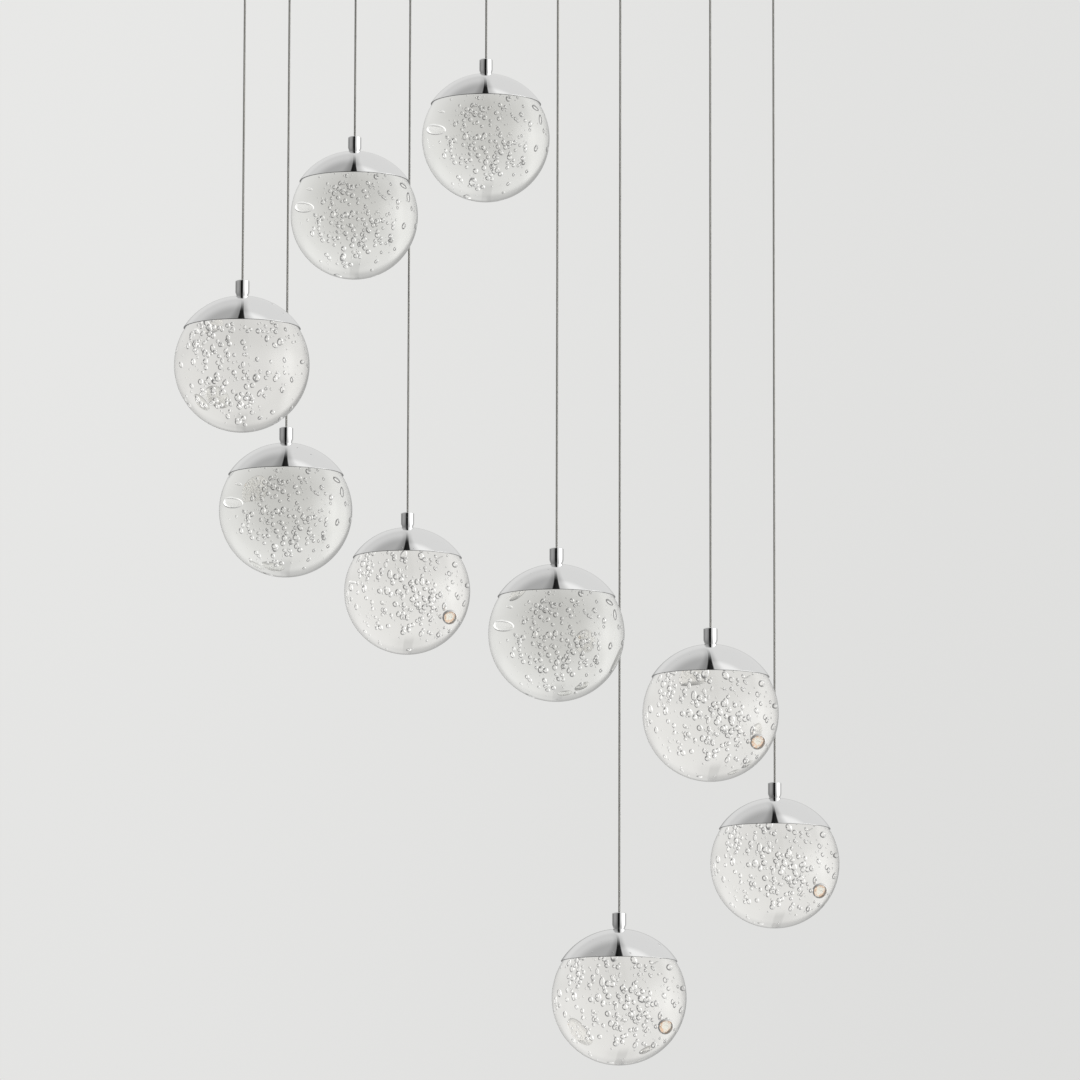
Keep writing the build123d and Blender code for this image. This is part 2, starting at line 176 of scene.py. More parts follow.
class Wiring:
    """Nodes of one material or of the world. What a node is given is a number or a colour, which is
    set on its socket, or the output of another node, which is linked to it."""

    def __init__(self, tree):
        self.nodes, self.links = tree.nodes, tree.links

    def give(self, node, values):
        """Gives a node's inputs, by name or number, their values. Returns its outputs."""
        for name, value in values.items():
            if hasattr(value, "links"):
                self.links.new(value, node.inputs[name])
            else:
                node.inputs[name].default_value = value
        return node.outputs

    def coordinates(self, kind):
        return self.nodes.new("ShaderNodeTexCoord").outputs[kind]

    def split(self, vector):
        return self.give(self.nodes.new("ShaderNodeSeparateXYZ"), {"Vector": vector})

    def attribute(self, name):
        node = self.nodes.new("ShaderNodeAttribute")
        node.attribute_name = name
        return node.outputs["Fac"]

    def maths(self, operation, *values):
        node = self.nodes.new("ShaderNodeMath")
        node.operation = operation
        return self.give(node, dict(enumerate(values)))[0]

    def times(self, value, *factors):
        for factor in factors:
            value = self.maths("MULTIPLY", value, factor)
        return value

    def times_plus(self, value, factor, addend):
        return self.maths("MULTIPLY_ADD", value, factor, addend)

    def one_minus(self, value):
        return self.maths("SUBTRACT", 1.0, value)

    def ramp(self, value, low, high, to_low=0.0, to_high=1.0):
        """Smooth step: to_low where the value is low or beyond, to_high where it is high or beyond."""
        node = self.nodes.new("ShaderNodeMapRange")
        node.interpolation_type = "SMOOTHSTEP"
        return self.give(node, {"Value": value, "From Min": low, "From Max": high, "To Min": to_low,
                                "To Max": to_high})["Result"]

    def mix(self, factor, low, high, kind="FLOAT"):
        node = self.nodes.new("ShaderNodeMix")
        node.data_type = kind
        return self.give(node, {"Factor": factor, "A": low, "B": high})["Result"]

    def mix_colours(self, factor, low, high):
        return self.mix(factor, low + (1,), high + (1,), kind="RGBA")

    def noise(self, place, scale, detail, roughness=0.5):
        return self.give(self.nodes.new("ShaderNodeTexNoise"), {
            "Vector": place, "Scale": scale, "Detail": detail, "Roughness": roughness})["Fac"]

    def bump(self, height, depth):
        return self.give(self.nodes.new("ShaderNodeBump"), {
            "Height": height, "Distance": depth})["Normal"]


def new_material(name):
    """A material, its wiring and its shader."""
    material = bpy.data.materials.new(name)
    material.use_nodes = True
    wiring = Wiring(material.node_tree)
    return material, wiring, wiring.nodes["Principled BSDF"]


# ======================= Materials =======================

def make_chrome(name, colour, roughness, haze):
    """Polished chrome plate: a mirror with a faint polishing haze and a barely uneven plate."""
    material, wiring, shader = new_material(name)
    place = wiring.coordinates("Object")
    smears = wiring.noise(place, scale=90.0, detail=4.0, roughness=0.6)
    ripple = wiring.noise(place, scale=45.0, detail=2.0, roughness=0.4)
    wiring.give(shader, {
        "Base Color": colour + (1,),
        "Metallic": 1.0,
        "Roughness": wiring.ramp(smears, 0.35, 0.75, roughness, roughness + haze),
        "Normal": wiring.bump(ripple, depth=0.02 * MM),
    })
    return material


def make_glass(name, middle, rim):
    """Clear cast glass with a faintly uneven fire-polished skin. Its tint turns from that of the middle
    of the front to that of the rim and back, by the attribute from_middle. The tint is the glass's own,
    and the darker middle of the front is painted shade, standing for the glass's thickness there."""
    material, wiring, shader = new_material(name)
    skin = wiring.noise(wiring.coordinates("Object"), scale=38.0, detail=1.0, roughness=0.3)
    # Painted shade: the tint is darkest in the middle of the front and clears towards the rim.
    shade_clears_towards_rim = wiring.ramp(wiring.attribute("from_middle"), 0.3, 1.1)
    wiring.give(shader, {
        "Transmission Weight": 1.0,
        "IOR": GLASS_IOR,
        "Roughness": 0.0,
        "Base Color": wiring.mix_colours(shade_clears_towards_rim, middle, rim),
        "Normal": wiring.bump(skin, depth=0.04 * MM),
    })
    return material


def make_ground_glass():
    """Fine-ground flat on top of the globe, under the lamp holder."""
    material, wiring, shader = new_material("ground_glass")
    grain = wiring.noise(wiring.coordinates("Object"), scale=4000.0, detail=2.0)
    wiring.give(shader, {
        "Base Color": (0.97, 0.98, 0.97, 1),
        "Transmission Weight": 1.0,
        "IOR": GLASS_IOR,
        "Roughness": wiring.ramp(grain, 0.3, 0.7, 0.25, 0.45),
    })
    return material


def make_amber_film():
    """Thin warm film round the one large seed bubble low in a globe: a pale middle inside a mottled
    orange ring. The attribute from_middle runs from 0 at the bubble's middle to 1 at its edge."""
    material, wiring, shader = new_material("amber_bubble")
    mottle = wiring.ramp(wiring.noise(wiring.coordinates("Object"), scale=700.0, detail=2.0),
                         0.4, 0.55, 0.1, 1.0)
    ring = wiring.ramp(wiring.attribute("from_middle"), 0.30, 0.60)
    wiring.give(shader, {
        "Transmission Weight": 1.0,
        "IOR": GLASS_IOR,
        "Roughness": 0.05,
        "Base Color": wiring.mix_colours(wiring.times(ring, mottle), (0.96, 0.95, 0.88),
                                         (0.86, 0.42, 0.22)),
    })
    return material


def make_braided_cable():
    """Tinned braid under a clear jacket: two sets of strands, rising and falling round the cable.
    UV: u round the cable, v along it, in turns of the braid."""
    material, wiring, shader = new_material("clear_jacket_braid")
    u, v, _ = wiring.split(wiring.coordinates("UV"))
    strands_each_way = 8
    turn = strands_each_way * 2 * math.pi
    around, along = wiring.times(u, turn), wiring.times(v, turn)
    rising = wiring.maths("SINE", wiring.maths("ADD", around, along))
    falling = wiring.maths("SINE", wiring.maths("SUBTRACT", around, along))
    weave = wiring.maths("MAXIMUM", rising, falling)
    wiring.give(shader, {
        "Base Color": wiring.mix_colours(wiring.ramp(weave, -0.3, 0.9), (0.12, 0.117, 0.107),
                                         (0.50, 0.49, 0.46)),
        "Metallic": 0.55,
        "Roughness": 0.38,
        "Coat Weight": 1.0,
        "Coat Roughness": 0.12,
        "Normal": wiring.bump(weave, depth=0.06 * MM),
    })
    return material


def make_plain(name, colour, metallic, roughness, grain_scale, grain_depth):
    """Machined, plated, moulded or painted part: one colour broken by fine grain, which darkens it by up
    to 14 %, turns its gloss by up to a fifth either way and lies grain_depth deep."""
    material, wiring, shader = new_material(name)
    grain = wiring.noise(wiring.coordinates("Object"), grain_scale, detail=4.0, roughness=0.6)
    dark = tuple(0.86 * c for c in colour)
    wiring.give(shader, {
        "Base Color": wiring.mix_colours(grain, dark, colour),
        "Metallic": metallic,
        "Roughness": wiring.ramp(grain, 0.3, 0.7, roughness * 0.8, roughness * 1.2),
        "Normal": wiring.bump(grain, grain_depth),
    })
    return material


CHROME = make_chrome("polished_chrome", (0.93, 0.93, 0.935), roughness=0.02, haze=0.03)
# Darkened chrome for the rim's underside: painted shade, a dark line standing for the shade in the gap
# between cap and glass.
RIM_PAINTED_SHADE = make_chrome("rim_painted_shade", (0.20, 0.20, 0.20), roughness=0.15, haze=0.10)
# Each glass is darker in the middle than at the rim: its own tint, deepened in the middle of the front
# as painted shade for the glass's thickness.
CLEAR_GLASS = make_glass("clear_bubble_glass_painted_middle_shade", middle=(0.88, 0.87, 0.845), rim=(1.0, 0.99, 0.97))
GREY_GLASS = make_glass("grey_bubble_glass_painted_middle_shade", middle=(0.54, 0.535, 0.51), rim=(1.0, 1.0, 0.98))
SMOKY_GLASS = make_glass("smoky_bubble_glass_painted_middle_shade", middle=(0.83, 0.82, 0.80), rim=(0.94, 0.93, 0.91))
BUBBLE_WALL = make_glass("bubble_wall", middle=(1.0, 1.0, 1.0), rim=(1.0, 1.0, 1.0))
GROUND_GLASS = make_ground_glass()
AMBER = make_amber_film()
BRAID = make_braided_cable()
ALUMINIUM = make_plain("milled_aluminium", (0.80, 0.80, 0.81), metallic=1.0, roughness=0.30,
                       grain_scale=900.0, grain_depth=0.02 * MM)
SOLDER_MASK = make_plain("white_solder_mask", (0.88, 0.88, 0.85), metallic=0.0, roughness=0.40,
                         grain_scale=1500.0, grain_depth=0.01 * MM)
ZINC = make_plain("zinc_plate", (0.63, 0.65, 0.68), metallic=1.0, roughness=0.28,
                  grain_scale=160.0, grain_depth=0.03 * MM)
DRIVER_CASE = make_plain("moulded_driver_case", (0.84, 0.84, 0.82), metallic=0.0, roughness=0.50,
                         grain_scale=1300.0, grain_depth=0.06 * MM)


# ======================= Globes =======================

def ball_template(rings, sides):
    """Unit ball from latitude and longitude, wound inwards: the glass's surface round an air bubble.
    Its triangles at the poles have -1 for a fourth corner."""
    latitude = np.linspace(-math.pi / 2, math.pi / 2, rings + 2)
    profile = np.column_stack([np.cos(latitude), np.sin(latitude)])
    profile[[0, -1], 0] = 0
    vertices, faces = turned_grid(profile, sides, closed=False)
    return vertices, np.array([face[::-1] + [-1] * (4 - len(face)) for face in faces])


def places_in_globe(rows, radius):
    """Places from the globe's centre, (x, y, z) = R (right, -towards the viewer, up)."""
    return rows[:, [0, 2, 1]] * (radius, -radius, radius)


def single_bubbles(table, radius):
    """Bubbles placed one by one, from the rows of a casting's table: centres, half-axes and tilts."""
    rows = np.array(table, float).reshape(-1, 7)
    leans = np.radians(rows[:, 6])
    tilts = np.column_stack([0 * leans, leans, 0 * leans])
    return places_in_globe(rows, radius), rows[:, 3:6] * MM, tilts


def scattered_bubbles(rng, group, casting, radius, top, taken):
    """Bubbles with radii spread evenly in their logarithm, and less towards the back, by 1 - 0.5 y / R.
    Each is drawn out upwards by up to the group's stretch. Some lie round the casting's clumps,
    normally spread, and the others anywhere in the ball. One that would touch the ball's surface, or a
    bubble already taken, is left out."""
    tries = TRIES_PER_BUBBLE * group["count"]
    places = rng.normal(size=(tries, 3))
    places *= (radius * rng.random(tries) ** (1 / 3) / np.linalg.norm(places, axis=1))[:, None]
    hearts = places_in_globe(np.array(casting["clumps"], float), radius)
    clumped = rng.random(tries) < group["clumped"]
    beside = rng.normal(scale=casting["spread"] * MM, size=(tries, 3))
    places[clumped] = (hearts[rng.integers(len(hearts), size=tries)] + beside)[clumped]
    least, most = group["radii"]
    radii = least * (most / least) ** rng.random(tries) * MM
    radii *= 1 - BACK_THINNING * places[:, 1].clip(0) / radius
    longest = radii * (1 + (group["stretch"] - 1) * rng.random(tries) ** 2)
    inside = np.linalg.norm(places, axis=1) + longest < FILLED_SHARE * radius
    inside &= places[:, 2] + longest < top
    centres, reaches = [centre for centre, _ in taken], [reach for _, reach in taken]
    chosen = []
    for index in np.flatnonzero(inside):
        apart = np.linalg.norm(np.array(centres) - places[index], axis=1)
        if np.all(apart > np.array(reaches) + longest[index]):
            centres.append(places[index])
            reaches.append(longest[index])
            chosen.append(index)
        if len(chosen) == group["count"]:
            break
    taken[:] = zip(centres, reaches)
    half_axes = np.column_stack([radii, radii, longest])[chosen]
    return places[chosen], half_axes, rng.normal(scale=LEAN_SPREAD, size=(len(chosen), 3))


def bubble_meshes(bubbles, resolution, first_vertex):
    """Every bubble's vertices, centre + R (axes * unit ball), its faces, counted from first_vertex, and
    how far each front vertex lies from the bubble's middle as seen from the front, 0 to 1."""
    centres, half_axes, tilts = bubbles
    unit, unit_faces = ball_template(*resolution)
    turns = np.array([Euler(tilt).to_matrix() for tilt in tilts])
    placed = np.einsum("nij,nvj->nvi", turns, half_axes[:, None, :] * unit[None]) + centres[:, None, :]
    starts = first_vertex + len(unit) * np.arange(len(centres))
    corners = np.where(unit_faces < 0, -1, unit_faces + starts[:, None, None]).reshape(-1, 4).tolist()
    from_middle = np.tile(np.where(unit[:, 1] < 0, np.hypot(unit[:, 0], unit[:, 2]), 0.0), len(centres))
    return placed.reshape(-1, 3), [face if face[3] >= 0 else face[:3] for face in corners], from_middle


# How a globe was cast. Clumps of bubbles: place in globe radii as seen from the front (right, up,
# towards the viewer), and their spread in mm. Groups of scattered bubbles: how many, radii in mm, most
# stretch, and the share that lies in the clumps. Single and amber bubbles: place as for clumps,
# half-axes in mm (across, deep, upright), and lean in degrees.
CASTINGS = {
    "ringed": {
        "seed": 41, "spread": 5.2, "glass": CLEAR_GLASS,
        "clumps": [
            (-0.17, 0.44, 0.60), (-0.56, 0.10, 0.45), (-0.39, 0.14, 0.60), (-0.22, -0.09, 0.65),
            (0.15, -0.07, 0.70), (0.34, 0.23, 0.60), (0.0, -0.36, 0.62), (0.0, -0.55, 0.50),
            (0.25, -0.36, 0.55), (0.42, -0.30, 0.50), (-0.51, -0.46, 0.35), (-0.37, -0.36, 0.50),
            (0.42, -0.60, 0.30), (-0.58, 0.36, 0.30), (0.62, 0.0, 0.30), (-0.75, -0.1, -0.1),
            (0.1, 0.1, -0.2),
        ],
        "scattered": [
            {"count": 175, "radii": (1.1, 2.1), "stretch": 1.7, "clumped": 0.65},
            {"count": 230, "radii": (0.35, 0.9), "stretch": 1.4, "clumped": 0.4},
        ],
        "single": [
            (-0.24, 0.16, 0.70, 1.9, 1.7, 3.4, 2), (-0.05, -0.18, 0.75, 1.3, 1.2, 2.7, 14),
            (0.0, 0.25, 0.72, 0.9, 0.9, 1.8, 12), (-0.30, 0.30, 0.62, 1.3, 1.1, 2.3, -8),
            (-0.10, 0.21, 0.70, 1.2, 1.0, 2.2, -14), (0.26, 0.38, 0.60, 1.9, 1.4, 2.1, 10),
            (0.60, 0.20, 0.45, 1.9, 1.3, 2.0, 0), (0.37, -0.14, 0.62, 1.9, 1.3, 2.0, 0),
            (0.21, -0.66, 0.40, 1.7, 1.3, 2.8, 10), (0.46, 0.42, 0.42, 3.0, 0.4, 0.4, -32),
        ],
        "amber": [(0.60, -0.39, 0.26, 7.2, 2.6, 5.2, 30)],
    },
    "sparkling": {
        "seed": 23, "spread": 4.2, "glass": GREY_GLASS,
        "clumps": [
            (-0.18, 0.42, 0.62), (-0.24, 0.26, 0.68), (-0.38, 0.20, 0.60), (-0.33, 0.02, 0.64),
            (0.0, 0.25, 0.70), (-0.09, 0.19, 0.70), (0.25, 0.46, 0.55), (0.20, 0.07, 0.70),
            (0.23, -0.10, 0.68), (0.0, -0.09, 0.72), (-0.19, -0.14, 0.68), (-0.50, -0.12, 0.50),
            (0.14, -0.23, 0.66), (0.04, -0.36, 0.62), (-0.14, -0.29, 0.64), (-0.42, -0.34, 0.50),
            (-0.25, -0.34, 0.58), (0.12, -0.44, 0.58), (-0.43, -0.44, 0.44), (0.37, -0.37, 0.52),
            (0.52, -0.48, 0.36), (0.55, 0.14, 0.45), (0.35, 0.17, 0.62), (0.47, -0.14, 0.55),
            (0.04, -0.58, 0.45), (-0.37, -0.66, 0.20), (-0.11, -0.70, 0.25),
        ],
        "scattered": [
            {"count": 170, "radii": (1.1, 2.0), "stretch": 1.4, "clumped": 0.85},
            {"count": 230, "radii": (0.3, 0.75), "stretch": 1.2, "clumped": 0.6},
        ],
        "single": [
            (-0.71, 0.06, 0.34, 10.2, 2.2, 3.9, 6), (-0.62, 0.30, 0.42, 3.4, 0.8, 1.0, 20),
            (0.70, 0.38, 0.30, 3.8, 1.8, 2.2, 8), (0.78, 0.22, 0.30, 2.2, 1.6, 4.0, 10),
            (-0.14, 0.34, 0.70, 2.6, 1.0, 1.0, -8),
        ],
        "amber": [],
    },
    "crowded": {
        "seed": 7, "spread": 6.0, "glass": SMOKY_GLASS,
        "clumps": [
            (-0.45, -0.42, 0.45), (-0.30, -0.52, 0.45), (0.30, 0.28, 0.62), (-0.10, 0.36, 0.66),
            (0.05, -0.15, 0.75), (0.20, -0.40, 0.60), (-0.50, 0.10, 0.50), (0.55, -0.20, 0.45),
            (-0.20, 0.05, 0.70), (0.50, 0.35, 0.30), (0.05, -0.62, 0.35), (-0.45, 0.38, 0.40),
        ],
        "scattered": [
            {"count": 175, "radii": (1.0, 2.0), "stretch": 1.7, "clumped": 0.65},
            {"count": 210, "radii": (0.35, 0.8), "stretch": 1.4, "clumped": 0.4},
        ],
        "single": [
            (-0.50, -0.46, 0.45, 3.4, 1.4, 1.6, -35), (-0.38, -0.58, 0.40, 2.6, 1.2, 1.5, -35),
            (0.36, 0.25, 0.65, 1.7, 1.3, 2.5, 10), (-0.10, 0.36, 0.70, 1.6, 1.2, 2.3, 0),
            (0.05, -0.13, 0.80, 1.4, 1.2, 2.3, 5), (0.18, -0.40, 0.70, 1.9, 1.4, 1.9, 0),
        ],
        "amber": [],
    },
}
CASTING_OF = {1: "crowded", 2: "sparkling", 3: "sparkling", 4: "ringed", 5: "sparkling", 6: "sparkling",
              7: "ringed", 8: "ringed", 9: "ringed"}


def cast_bubbles(casting, radius, top, first_vertex):
    """Meshes of all the bubbles of one casting, as from bubble_meshes, and the number of amber faces,
    which come last."""
    rng = np.random.default_rng(casting["seed"])
    single, amber = (single_bubbles(casting[kind], radius) for kind in ("single", "amber"))
    taken = [(centre, axes.max()) for bubbles in (single, amber) for centre, axes in zip(*bubbles[:2])]
    groups = [(single, LARGE_BUBBLE)]
    groups += [(scattered_bubbles(rng, group, casting, radius, top, taken), SMALL_BUBBLE)
               for group in casting["scattered"]]
    groups += [(amber, LARGE_BUBBLE)] if len(amber[0]) else []
    vertices, faces, from_middle, counts = [], [], [], []
    for bubbles, resolution in groups:
        placed, placed_faces, distances = bubble_meshes(bubbles, resolution,
                                                        first_vertex + sum(map(len, vertices)))
        vertices.append(placed)
        faces += placed_faces
        from_middle.append(distances)
        counts.append(len(placed_faces))
    return np.vstack(vertices), faces, np.concatenate(from_middle), counts[-1] if len(amber[0]) else 0


def make_globe(number):
    """Solid glass ball with a ground flat on top: an arc of radius R from the lowest point up to the
    flat's bevelled edge, and then the flat, turned round the axis. The bubbles in it are cavities. The
    attribute from_middle runs from 0 at the middle of the front to 1 at the rim, and stays 1 behind."""
    node = f"globe_{number}"
    x, y, bottom, flat, radius = round_node(node)
    height = flat - (bottom + radius)
    side = arc((0, 0), radius, -90, elevation(height - ARRIS_HEIGHT, radius), GLOBE_STEPS)
    side[0, 0] = 0
    flat_rings = np.column_stack([np.linspace(side[-1, 0] - ARRIS_WIDTH, 0, FLAT_RINGS),
                                  np.full(FLAT_RINGS, height - FLAT_GAP)])
    vertices, faces = turned_grid(np.vstack([side, flat_rings]), RIM_SEGMENTS, closed=False)
    ground = np.array([vertices[face, 2].min() > height - GROUND_BAND for face in faces])
    casting = CASTINGS[CASTING_OF[number]]
    bubble_vertices, bubble_faces, from_middle, amber_count = cast_bubbles(
        casting, radius, height - GLASS_OVER_BUBBLES, len(vertices))
    off_axis = np.hypot(vertices[:, 0], vertices[:, 2]) / radius
    everything = np.vstack([vertices, bubble_vertices]) + (x, y, bottom + radius)
    materials = [casting["glass"], GROUND_GLASS, BUBBLE_WALL, AMBER]
    globe = new_mesh_object(f"bubble_globe_{number}", everything, faces + bubble_faces, materials)
    slots = np.zeros(len(globe.data.polygons), np.int32)
    slots[:len(faces)][ground] = materials.index(GROUND_GLASS)
    slots[len(faces):] = materials.index(BUBBLE_WALL)
    slots[len(slots) - amber_count:] = materials.index(AMBER)
    globe.data.polygons.foreach_set("material_index", slots)
    # from_middle on the skin sets where the painted shade darkens the middle of the globe's front.
    globe.data.attributes.new("from_middle", "FLOAT", "POINT").data.foreach_set("value", np.concatenate(
        [np.where(vertices[:, 1] < 0, off_axis, 1.0), from_middle]))
    globe.visible_glossy = False
    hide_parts(node)
    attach(globe, f"lamp_{number}")


# ======================= Caps and ferrules =======================

def make_cap(number):
    """Spun dome: outer and inner arcs round the globe's centre, joined by a rolled rim, a quarter
    circle, and by the hole."""
    x, y, rim, seat, _ = round_node(f"cap_{number}")
    _, _, globe_bottom, _, ball = round_node(f"globe_{number}")
    centre_z = globe_bottom + ball
    rim, seat = rim - centre_z, seat - centre_z
    inner = ball + CAP_CLEARANCE
    outer = inner + CAP_WALL
    land = math.sqrt(inner ** 2 - LAND_RADIUS ** 2)
    shell = arc((0, 0), outer, elevation(rim + RIM_ROLL, outer), elevation(seat, outer), DOME_STEPS)
    liner = arc((0, 0), inner, elevation(land, inner), elevation(rim, inner), LINER_STEPS)
    roll = arc((shell[0, 0] - RIM_ROLL, rim + RIM_ROLL), RIM_ROLL, -90, 0, ROLL_STEPS)[:-1]
    profile = np.vstack([roll, shell, [[STUB_HOLE, seat], [STUB_HOLE, land]], liner])
    vertices, faces = turned_grid(profile, RIM_SEGMENTS, closed=True)
    cap = new_mesh_object(f"dome_cap_{number}", vertices + (x, y, centre_z), faces, [CHROME, RIM_PAINTED_SHADE])
    # The rim's underside rows take the darkened chrome: a painted shade line along the gap between cap
    # and glass.
    row_of = np.arange(len(faces)) // RIM_SEGMENTS
    in_painted_shade = (row_of < PAINTED_SHADE_ROWS) | (row_of == row_of[-1])
    cap.data.polygons.foreach_set("material_index", in_painted_shade.astype(np.int32))
    cap.visible_glossy = cap.visible_transmission = False
    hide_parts(f"cap_{number}")
    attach(cap, f"lamp_{number}")


def make_ferrule(number):
    """Turned ferrule: stub inside the cap, tapered foot, straight side, a quarter circle for the crown,
    and the cable bore, whose floor has a hole for the wires."""
    x, y, stub_end, top, radius = round_node(f"ferrule_{number}")
    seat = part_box(f"cap_{number}")[1].z
    profile = np.vstack([
        [[WIRE_HOLE, stub_end], [STUB_RADIUS, stub_end], [STUB_RADIUS, seat],
         [radius - FOOT_INSET, seat], [radius, seat + FOOT_HEIGHT]],
        arc((radius - CROWN, top - CROWN), CROWN, 0, 90, CROWN_STEPS),
        [[CABLE_BORE + BORE_BEVEL, top], [CABLE_BORE, top - BORE_BEVEL],
         [CABLE_BORE, top - BORE_DEPTH], [WIRE_HOLE, top - BORE_DEPTH]],
    ])
    vertices, faces = turned_grid(profile, FERRULE_SEGMENTS, closed=True)
    ferrule = new_mesh_object(f"turned_ferrule_{number}", vertices + (x, y, 0), faces, [CHROME])
    ferrule.visible_transmission = False
    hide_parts(f"ferrule_{number}")
    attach(ferrule, f"lamp_{number}")


# ======================= Cables =======================

def route_line(name, route, spacing):
    """Points along the smooth line of a route: a NURBS spline with the route's points as its control
    points, read back from a curve with no bevel."""
    curve = bpy.data.curves.new(name, "CURVE")
    curve.dimensions = "3D"
    spline = curve.splines.new("NURBS")
    spline.points.add(len(route) - 1)
    spline.points.foreach_set("co", np.column_stack([route, np.ones(len(route))]).ravel())
    spline.order_u = 3
    spline.use_endpoint_u = True
    curve.resolution_u = round(math.dist(route[0], route[-1]) / spacing)
    holder = bpy.data.objects.new(name, curve)
    line = bpy.data.meshes.new_from_object(holder)
    points = np.empty(3 * len(line.vertices))
    line.vertices.foreach_get("co", points)
    bpy.data.objects.remove(holder)
    bpy.data.meshes.remove(line)
    return points.reshape(-1, 3)


def make_cable(number):
    """Tube round the route's line, point + r (cos a, sin a, 0), from the grip's jaws down into the
    ferrule. Its rings lie close together."""
    node = f"cable_{number}"
    x, y, bottom, top, radius = round_node(node)
    line = route_line(f"cable_route_{number}", [(x, y, top), (x, y, (top + bottom) / 2), (x, y, bottom)],
                      CABLE_STEP)
    rings = len(line)
    a = -np.linspace(0, 2 * math.pi, CABLE_SIDES, endpoint=False)
    spokes = radius * np.column_stack([np.cos(a), np.sin(a), 0 * a])
    grid = line[:, None, :] + spokes[None]
    here = np.arange(CABLE_SIDES)
    after = (here + 1) % CABLE_SIDES
    rows = np.arange(rings - 1)[:, None] * CABLE_SIDES
    quads = np.stack([rows + here, rows + after, rows + CABLE_SIDES + after,
                      rows + CABLE_SIDES + here], axis=-1).reshape(-1, 4)
    ends = [here[::-1].tolist(), ((rings - 1) * CABLE_SIDES + here).tolist()]
    cable = new_mesh_object(f"braided_cable_{number}", grid.reshape(-1, 3), quads.tolist() + ends,
                            [BRAID])
    along = line[:, 2] / (2 * math.pi * radius)
    ring_of = np.repeat(np.arange(rings - 1), CABLE_SIDES)
    u = np.column_stack([here, here + 1, here + 1, here]) / CABLE_SIDES
    v = np.column_stack([along[ring_of], along[ring_of], along[ring_of + 1], along[ring_of + 1]])
    side_uv = np.stack([np.tile(u, (rings - 1, 1)), v], axis=-1).reshape(-1, 2)
    uv = np.zeros((len(cable.data.loops), 2))
    uv[:len(side_uv)] = side_uv
    cable.data.uv_layers.new(name="braid").data.foreach_set("uv", uv.ravel())
    cable.visible_glossy = cable.visible_transmission = False
    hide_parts(node)
    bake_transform(cable)


# ======================= Camera and floor =======================

def make_camera():
    """Camera at the photograph's place and angle."""
    camera = bpy.data.objects.new("camera", bpy.data.cameras.new("camera"))
    bpy.context.scene.collection.objects.link(camera)
    camera.data.sensor_width = SENSOR_MM
    camera.data.lens = SENSOR_MM * FOCAL_PX / FRAME_PX
    camera.data.clip_end = FARTHEST_SEEN
    forward = Vector((0, math.cos(CAMERA_PITCH), math.sin(CAMERA_PITCH)))
    camera.location = AIM - CAMERA_DISTANCE * forward
    camera.rotation_euler = Euler((math.pi / 2 + CAMERA_PITCH, 0, 0))
    camera.rotation_euler.rotate_axis("Z", CAMERA_ROLL)
    bpy.context.scene.camera = camera


def make_floor():
    """Plain pale floor, far below the light."""
    half = FLOOR_SIZE / 2
    corners = np.array([(-half, -half, FLOOR_Z), (half, -half, FLOOR_Z), (half, half, FLOOR_Z),
                        (-half, half, FLOOR_Z)])
    floor_paint = make_plain("pale_floor", (0.82, 0.82, 0.81), metallic=0.0, roughness=0.8,
                             grain_scale=3.0, grain_depth=0.1 * MM)
    floor = new_mesh_object("floor", corners, [[0, 1, 2, 3]], [floor_paint])
    floor.visible_glossy = floor.visible_transmission = False


# ======================= Studio =======================
# Each function below gives the tone of one thing in the studio, by the direction in which a ray goes
# out: x to the right, y to the back, z up, each from -1 to 1. Its ramps say where in that direction a
# tone begins and ends, and from which tone it runs to which. The value through is 1 for a ray that has
# passed through glass, and otherwise 0.

def front_panels(wiring, x, y, z, through):
    """A white panel on the right, which is seen darker through glass, and a greyer one on the left.
    Both are darker below, and both turn towards the backdrop's tone at the back."""
    left = wiring.times(wiring.ramp(y, 0.05, 0.5, 0.42, 0.64), wiring.ramp(z, 0.1, 0.5, 0.80, 1.0))
    right_front = wiring.mix(through, wiring.ramp(z, 0.4, 0.9, 1.15, 0.92), 0.45)
    right = wiring.ramp(y, -0.12, 0.1, right_front, 0.72)
    both = wiring.mix(wiring.ramp(x, -0.06, 0.02), left, right)
    return wiring.times(both, wiring.ramp(z, -0.5, 0.0, 0.55, 1.0))


def backdrop(wiring, x, z, through):
    """Pale backdrop behind the light, dark only straight down. Through glass it is lighter above than
    below, with a bright strip at the left."""
    tone = wiring.mix(through, 0.72, wiring.ramp(z, -0.12, 0.12, 0.77, 0.83))
    bright_strip = wiring.times(wiring.ramp(x, -0.45, -0.62, 0.0, 0.1), wiring.ramp(x, -0.93, -0.8))
    tone = wiring.times_plus(bright_strip, through, tone)
    return wiring.times(tone, wiring.ramp(z, -0.95, -0.45, 0.5, 1.0))


def dark_gap(wiring, x, y, z, through):
    """Dark gap between the two panels, as a share of their light that is lost. It is widest straight in
    front, narrows as it closes overhead, stands to the left and runs into the middle above, and has a
    dark core in a soft halo. Through glass it is wider and much fainter."""
    frontness = wiring.times_plus(y, -0.5, 0.5)
    half_width = wiring.times_plus(wiring.maths("POWER", frontness, 4.0), 0.38,
                                   wiring.times_plus(through, 0.045, 0.015))
    to_the_left = wiring.ramp(z, 0.0, 1.0, 0.15, 0.01)
    off_centre = wiring.maths("ABSOLUTE", wiring.maths("ADD", x, to_the_left))
    widths_off = wiring.maths("DIVIDE", off_centre, half_width)
    core = wiring.ramp(widths_off, 0.75, 1.5, 1.0, 0.0)
    halo = wiring.ramp(widths_off, 1.2, 5.0, 0.4, 0.0)
    strength = wiring.mix(through, wiring.ramp(y, 0.0, 0.78, 0.98, 0.0),
                          wiring.ramp(y, 0.65, 0.8, 0.2, 0.0))
    return wiring.times(wiring.maths("MAXIMUM", core, halo), strength)


